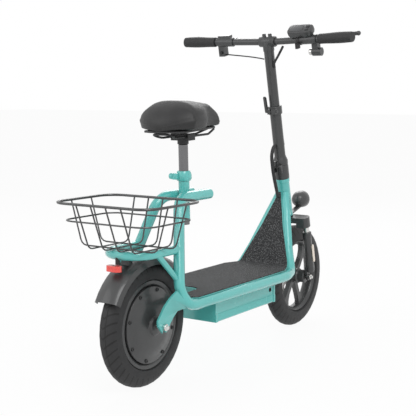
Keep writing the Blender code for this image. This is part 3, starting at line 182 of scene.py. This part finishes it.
# Tread: slanted grooves where a sine of the wheel angle plus the distance from the middle peaks,
# and two ring grooves.
def tyreFinish(name, centreX):
    tread = {"count": 40, "slant": 190, "peak": 0.80, "groove": 0.0075, "grooveHalf": 0.0009}
    tread |= {"edge": 0.150, "dust": 38, "dustShare": 0.05, "strength": 0.9, "depth": 0.0016}
    finish = Finish(name, 0.6)
    x, y, z = finish.axes()
    run, rise = x - centreX, z - place["wheelZ"]
    turn = rise.make("ARCTAN2", rise, run)
    out = run * run + rise * rise
    side = y.make("ABSOLUTE", y)
    wave = turn * tread["count"] + side * tread["slant"]
    slant = (wave.make("SINE", wave) > tread["peak"]) * (out > tread["edge"] ** 2)
    off = side - tread["groove"]
    ring = (off.make("ABSOLUTE", off) < tread["grooveHalf"]) * (out > tread["edge"] ** 2)
    grooveAndShade = slant.make("MAXIMUM", slant, ring)
    dust = finish.noise(tread["dust"], 5)
    # Painted shade: the grooves are painted darker than the rubber, as shade in the recesses.
    finish.tint(grooveAndShade, (0.020, 0.020, 0.021), (0.004, 0.004, 0.004))
    finish.rough(dust, 0.50, 0.75)
    finish.bump(1 - grooveAndShade + dust * tread["dustShare"], tread["strength"], tread["depth"])
    return finish.material


# Brushed steel: noise drawn out along one way.
def steelFinish(name, tone):
    finish = Finish(name, 0.24, 1.0)
    brush = finish.noise(300, 3, (1, 1, 0.06))
    finish.tint(finish.noise(20), tuple(0.88 * c for c in tone), tone)
    finish.rough(brush, 0.16, 0.34)
    finish.bump(brush, 0.06, 0.0001)
    return finish.material


# Prismatic plastic: small cells give facets that vary in gloss and relief, and in tone as painted shade, darker
# in each facet's pit and lighter towards its ridges.
def lensFinish(name, low, high, scale):
    finish = Finish(name, 0.12, 0.0, 1.0)
    facetAndShade = finish.cells(scale)
    # Painted shade: the tone follows the facet relief, darker in the pits and lighter on the ridges.
    finish.tint(facetAndShade, low, high)
    finish.rough(facetAndShade, 0.08, 0.30)
    finish.bump(facetAndShade, 0.4, 0.0008)
    return finish.material


# Each finish runs between a low and a high tone.
tones = {
    "mint": ((0.105, 0.520, 0.490), (0.125, 0.575, 0.540)),
    "charcoal": ((0.048, 0.049, 0.050), (0.062, 0.063, 0.064)),
    "black": ((0.014, 0.014, 0.015), (0.026, 0.026, 0.027)),
    "rubber": ((0.018, 0.018, 0.019), (0.034, 0.034, 0.035)),
    "leather": ((0.010, 0.010, 0.010), (0.020, 0.020, 0.021)),
}
finishes = {
    "mint_paint": paintFinish("mint_paint", *tones["mint"], 0.24, 0.0, 0.6),
    "dark_paint": paintFinish("charcoal_paint", *tones["charcoal"], 0.38, 0.30, 0.3),
    "black_plastic": mouldedFinish("moulded_black", *tones["black"], 0.48, 900, 0.0002),
    "tyre_rubber": mouldedFinish("grip_rubber", *tones["rubber"], 0.60, 520, 0.0004),
    "saddle_leather": mouldedFinish("saddle_cover", *tones["leather"], 0.46, 430, 0.0005),
    "bright_steel": steelFinish("brushed_steel", (0.72, 0.71, 0.69)),
    "dark_steel": steelFinish("satin_steel", (0.20, 0.20, 0.205)),
    "grip_grit": gritFinish(),
    "red_lens": lensFinish("red_lens", (0.75, 0.015, 0.012), (0.95, 0.09, 0.06), 260),
    "cream_reflector": lensFinish("cream_reflector", (0.80, 0.66, 0.52), (0.95, 0.86, 0.76), 420),
}
rearTread = tyreFinish("rear_tread", place["rearX"])
frontTread = tyreFinish("front_tread", place["frontX"])
lampGlass = lensFinish("lamp_glass", (0.62, 0.66, 0.70), (0.92, 0.94, 0.96), 300)
screenGlass = lensFinish("screen_glass", (0.010, 0.012, 0.014), (0.030, 0.034, 0.038), 40)
print("finishes made")


softening = {
    "width": 0.0006,
    "angle": math.radians(42),
    "segments": 2,
    "smoothTo": math.radians(40),
    "flatTo": math.radians(0.5),
    "weld": 1e-6,
}


def addPiece(name, mesh, body, material, replaced=()):
    piece = bpy.data.objects.new(name, mesh)
    bpy.context.scene.collection.objects.link(piece)
    mesh.materials.clear()
    mesh.materials.append(material)
    mesh.shade_smooth()
    mesh.set_sharp_from_angle(angle=softening["smoothTo"])
    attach(piece, body)
    if replaced:
        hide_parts(*replaced)
    return piece


# A node's welded copy with softened edges and smooth shading stands for the node.
def dressNode(node):
    bm = bmesh.new()
    bm.from_mesh(nodes[node].data)
    bmesh.ops.remove_doubles(bm, verts=bm.verts, dist=softening["weld"])
    bmesh.ops.dissolve_limit(bm, angle_limit=softening["flatTo"], verts=bm.verts, edges=bm.edges)
    mesh = bpy.data.meshes.new(f"{node}_skin")
    bm.to_mesh(mesh)
    bm.free()
    slot = slotOf[node]
    piece = addPiece(f"{node}_skin", mesh, bodyOf[node], finishes[slot], (node,))
    edge = piece.modifiers.new("edge", "BEVEL")
    edge.width = softening["width"]
    edge.segments = softening["segments"]
    edge.limit_method = "ANGLE"
    edge.angle_limit = softening["angle"]
    edge.use_clamp_overlap = True
    return piece


# A grid of points rows x columns, closed across the columns, with its two end rows capped.
def gridMesh(name, points):
    rows, columns = points.shape[:2]
    index = np.arange(rows * columns).reshape(rows, columns)
    beside = np.roll(index, -1, axis=1)
    quads = np.stack([index[:-1], beside[:-1], beside[1:], index[1:]], axis=-1).reshape(-1, 4)
    faces = quads.tolist() + [index[0][::-1].tolist(), index[-1].tolist()]
    mesh = bpy.data.meshes.new(name)
    mesh.from_pydata(points.reshape(-1, 3).tolist(), [], faces)
    bm = bmesh.new()
    bm.from_mesh(mesh)
    bmesh.ops.recalc_face_normals(bm, faces=bm.faces)
    bm.to_mesh(mesh)
    bm.free()
    return mesh


# A profile of radius and height turned about an axis: centre + axis h + (first cos t + second sin t) r.
def turnedMesh(name, profile, count, centre, axis, first):
    radius, height = np.array(profile, float).T[:, :, None, None]
    along = np.array(axis, float)
    across = np.array(first, float)
    other = np.cross(along, across)
    turn = np.linspace(0, 2 * np.pi, count, endpoint=False)[None, :, None]
    points = np.array(centre) + along * height + (across * np.cos(turn) + other * np.sin(turn)) * radius
    return gridMesh(name, points)


# The camera stands where the photograph's did, level to within its own pitch.
view = {"place": (-2.52025, -1.61321, 0.82443), "yaw": 33.696, "pitch": -6.914, "lens": 83.31, "sensor": 36}
camera = bpy.data.objects.new("camera", bpy.data.cameras.new("camera"))
bpy.context.scene.collection.objects.link(camera)
camera.location = view["place"]
camera.rotation_euler = (math.radians(90 + view["pitch"]), 0, math.radians(view["yaw"] - 90))
camera.data.lens = view["lens"]
camera.data.sensor_width = view["sensor"]
bpy.context.scene.camera = camera

dressed = {node: dressNode(node) for node in nodes if node not in ("saddle_cushion", "display")}
dressed["rear_tyre"].data.materials[0] = rearTread
dressed["front_tyre"].data.materials[0] = frontTread
print("nodes dressed:", len(dressed))

# Saddle cushion: the same crowned form as its solid, finer, with a stitched seam pressed in round the side.
saddle = {
    "foot": (0.199 - 0.4266, 0.558),
    "tilt": math.radians(1.95),
    "low": 0.1588,
    "rear": -0.118,
    "length": 0.296,
    "edge": 0.010,
    "crown": 0.0756,
    "crownFall": 0.238,
    "halfWidth": 0.100,
    "narrowing": 0.062,
    "narrowAt": 0.50,
    "narrowRate": 13,
    "leastHalf": 0.004,
    "endShare": 0.14,
    "heelShare": 0.22,
    "toeShare": 0.24,
    "noseDrop": 0.016,
    "dropFrom": 0.45,
    "tuck": 0.93,
    "seamHeight": 0.34,
    "seamHalf": 0.045,
    "seamDepth": 0.0016,
}


# An end closes over part of the length: the distance from it, as a share of that part, to a power.
def closeEnd(distance, over, power):
    return (np.minimum(distance, over) / over) ** power


# Half width: broad - narrowing / (1 + e^(-rate (u - middle))), height by powers that close the ends,
# both around a superellipse.
def makeSaddle(stations=72, around=96):
    share = (0.5 - 0.5 * np.cos(np.pi * (0.03 + 0.94 * np.arange(stations + 1) / stations)))[:, None]
    turn = (2 * np.pi * np.arange(around) / around)[None, :]
    c, s = np.cos(turn), np.sin(turn)
    above = np.maximum(s, 0)
    logistic = 1 + np.exp(-(share - saddle["narrowAt"]) * saddle["narrowRate"])
    broad = saddle["halfWidth"] - saddle["narrowing"] / logistic
    heel = closeEnd(share, saddle["endShare"], 0.45)
    toe = closeEnd(1 - share, saddle["endShare"], 0.5)
    seam = saddle["seamDepth"] * np.exp(-(((s - saddle["seamHeight"]) / saddle["seamHalf"]) ** 2))
    width = np.maximum(broad * heel * toe, saddle["leastHalf"]) - seam
    crown = saddle["crown"] * (1 - saddle["crownFall"] * share**1.5)
    closing = np.minimum(closeEnd(share, saddle["heelShare"], 0.45), closeEnd(1 - share, saddle["toeShare"], 0.5))
    drop = saddle["noseDrop"] * np.maximum(0, share - saddle["dropFrom"]) * np.minimum(1, above * 4)
    upper = saddle["edge"] + crown * closing * above**0.8 - drop
    lower = saddle["edge"] * (1 - np.abs(s) ** 0.6)
    z = saddle["low"] + np.where(s >= 0, upper, lower)
    tuck = saddle["tuck"] + (1 - saddle["tuck"]) * np.minimum(1, above * 5)
    y = width * np.copysign(np.abs(c) ** 0.75, c) * tuck
    x = saddle["rear"] + saddle["length"] * share + 0 * turn
    ct, st = math.cos(saddle["tilt"]), math.sin(saddle["tilt"])
    points = np.stack([saddle["foot"][0] + x * ct - z * st, y, saddle["foot"][1] + x * st + z * ct], axis=-1)
    mesh = gridMesh("saddle_cover", points)
    slot = slotOf["saddle_cushion"]
    piece = addPiece("saddle_cover", mesh, "seat", finishes[slot], ("saddle_cushion",))


makeSaddle()
print("saddle made")

# Motor cover bolts on their ring: a washer face, a rounded head and its socket.
bolts = {"count": 8, "ring": 0.1006, "start": 74.8, "face": -0.0286, "radius": 0.0055, "height": 0.0032}
for i in range(bolts["count"]):
    angle = math.radians(bolts["start"] + 360 / bolts["count"] * i)
    r, h = bolts["radius"], bolts["height"]
    spot = (
        place["rearX"] + bolts["ring"] * math.cos(angle),
        bolts["face"],
        place["wheelZ"] + bolts["ring"] * math.sin(angle),
    )
    profile = [(r, 0), (r, 0.7 * h), (0.85 * r, h), (0.45 * r, h), (0.40 * r, 0.5 * h), (0.1 * r, 0.5 * h)]
    mesh = turnedMesh(f"cover_bolt_{i}", profile, 16, spot, (0, -1, 0), (1, 0, 0))
    addPiece(f"cover_bolt_{i}", mesh, "rear_wheel", finishes["black_plastic"])

# Headlight glass: a shallow dome in the bowl's mouth.
lamp = {"centre": (0.1049, 0, 0.2489), "mouth": 0.0242}
lampX, lampY, lampZ = steerPoint(*lamp["centre"])
domeProfile = [(0.0258, -0.001), (0.0258, 0.0015), (0.022, 0.0045), (0.012, 0.0065), (0.001, 0.0072)]
mouth = (lampX + lamp["mouth"], lampY, lampZ)
glassMesh = turnedMesh("headlight_glass", domeProfile, 32, mouth, (1, 0, 0), (0, 0, 1))
addPiece("headlight_glass", glassMesh, "steering", lampGlass)


# The display: a cushioned block on the bar whose face is tilted to the rider, with its window
# and two buttons.
display = {
    "centre": (-0.010, -0.131, 0.8610),
    "tilt": math.radians(30),
    "half": (0.0215, 0.0430, 0.0125),
    "corner": 0.42,
    "windowHalf": (0.0155, 0.0225),
    "windowY": 0.011,
    "buttonHalf": (0.0048, 0.0060),
    "buttonY": -0.0270,
    "buttonU": (-0.0085, 0.0065),
}


# A superellipse pad at (u, v) on the tilted face, between heights w, its last ring drawn in.
def makePad(name, u, v, halfU, halfV, levels, insets, material, replaced=()):
    turn = np.linspace(0, 2 * np.pi, 44, endpoint=False)[None, :]
    c, s = np.cos(turn), np.sin(turn)
    lift = np.array(levels)[:, None] + 0 * turn
    inset = np.array(insets)[:, None]
    across = u + (halfU - inset) * np.copysign(np.abs(c) ** display["corner"], c)
    y = display["centre"][1] + v + (halfV - inset) * np.copysign(np.abs(s) ** display["corner"], s)
    ct, st = math.cos(display["tilt"]), math.sin(display["tilt"])
    x = display["centre"][0] + across * ct - lift * st
    z = display["centre"][2] + across * st + lift * ct
    points = np.stack(steerPoint(x, y, z), axis=-1)
    addPiece(name, gridMesh(name, points), "bar", material, replaced)


halfU, halfV, halfW = display["half"]
bodyLevels = [-halfW, -halfW * 0.85, -halfW * 0.4, halfW * 0.5, halfW * 0.85, halfW]
bodyInsets = [0.0050, 0.0018, 0, 0, 0.0012, 0.0040]
makePad("display_shell", 0, 0, halfU, halfV, bodyLevels, bodyInsets, finishes["dark_paint"], ("display",))
windowLevels = [halfW - 0.0005, halfW + 0.0004, halfW + 0.0007]
windowInsets = [0, 0, 0.0008]
makePad("display_window", 0, display["windowY"], *display["windowHalf"], windowLevels, windowInsets, screenGlass)
buttonLevels = [halfW - 0.0005, halfW + 0.0014, halfW + 0.0020]
buttonInsets = [0, 0, 0.001]
buttonFinish = finishes["black_plastic"]
for i, u in enumerate(display["buttonU"]):
    name = f"display_button_{i}"
    makePad(name, u, display["buttonY"], *display["buttonHalf"], buttonLevels, buttonInsets, buttonFinish)
print("trim made")

ground = {"half": 30, "glowShare": 0.93, "glowStrength": 1.0}
corners = [(ground["half"] * x, ground["half"] * y, 0) for x, y in ((-1, -1), (1, -1), (1, 1), (-1, 1))]
floorMesh = bpy.data.meshes.new("floor")
floorMesh.from_pydata(corners, [], [(0, 1, 2, 3)])
floor = bpy.data.objects.new("floor", floorMesh)
bpy.context.scene.collection.objects.link(floor)
floorFinish = Finish("floor", 0.9)
floorFinish.tint(floorFinish.noise(2), (0.90, 0.90, 0.90), (0.92, 0.92, 0.92))


# To the camera, straight or by way of glass and gloss, the ground and the sky are white.
def cameraShare(tree):
    path = tree.nodes.new("ShaderNodeLightPath")
    seen = Sock(tree, path.outputs["Is Camera Ray"])
    for kind in ("Is Glossy Ray", "Is Transmission Ray"):
        seen = seen.make("MAXIMUM", seen, Sock(tree, path.outputs[kind]))
    return seen


glow = floorFinish.node("ShaderNodeEmission", {}, {"Strength": ground["glowStrength"]})
share = cameraShare(floorFinish.tree) * ground["glowShare"]
blend = floorFinish.node(
    "ShaderNodeMixShader", {}, {0: share, 1: floorFinish.shader.outputs[0], 2: glow.outputs[0]}
)
floorFinish.tree.links.new(blend.outputs[0], floorFinish.tree.nodes["Material Output"].inputs["Surface"])
floorMesh.materials.append(floorFinish.material)


def addLight(name, spot, size, power):
    light = bpy.data.lights.new(name, "AREA")
    light.size = size
    light.energy = power
    holder = bpy.data.objects.new(name, light)
    holder.location = spot
    holder.rotation_euler = (Vector((0, 0, 0.4)) - Vector(spot)).to_track_quat("-Z", "Y").to_euler()
    bpy.context.scene.collection.objects.link(holder)


addLight("key", (-2.2, -2.6, 3.4), 2.2, 70)
addLight("fill", (-3.0, 2.0, 2.2), 2.5, 24)
addLight("rim", (2.6, 1.5, 2.6), 2.0, 36)

sky = {"seen": 1.0, "light": 0.55}
world = bpy.data.worlds.new("studio")
world.use_nodes = True
worldTree = world.node_tree
backdrop = worldTree.nodes["Background"]
backdrop.inputs["Color"].default_value = (1, 1, 1, 1)
strength = sky["light"] + cameraShare(worldTree) * (sky["seen"] - sky["light"])
worldTree.links.new(strength.socket, backdrop.inputs["Strength"])
bpy.context.scene.world = world
bpy.context.scene.view_settings.view_transform = "Standard"
print("stage lit")
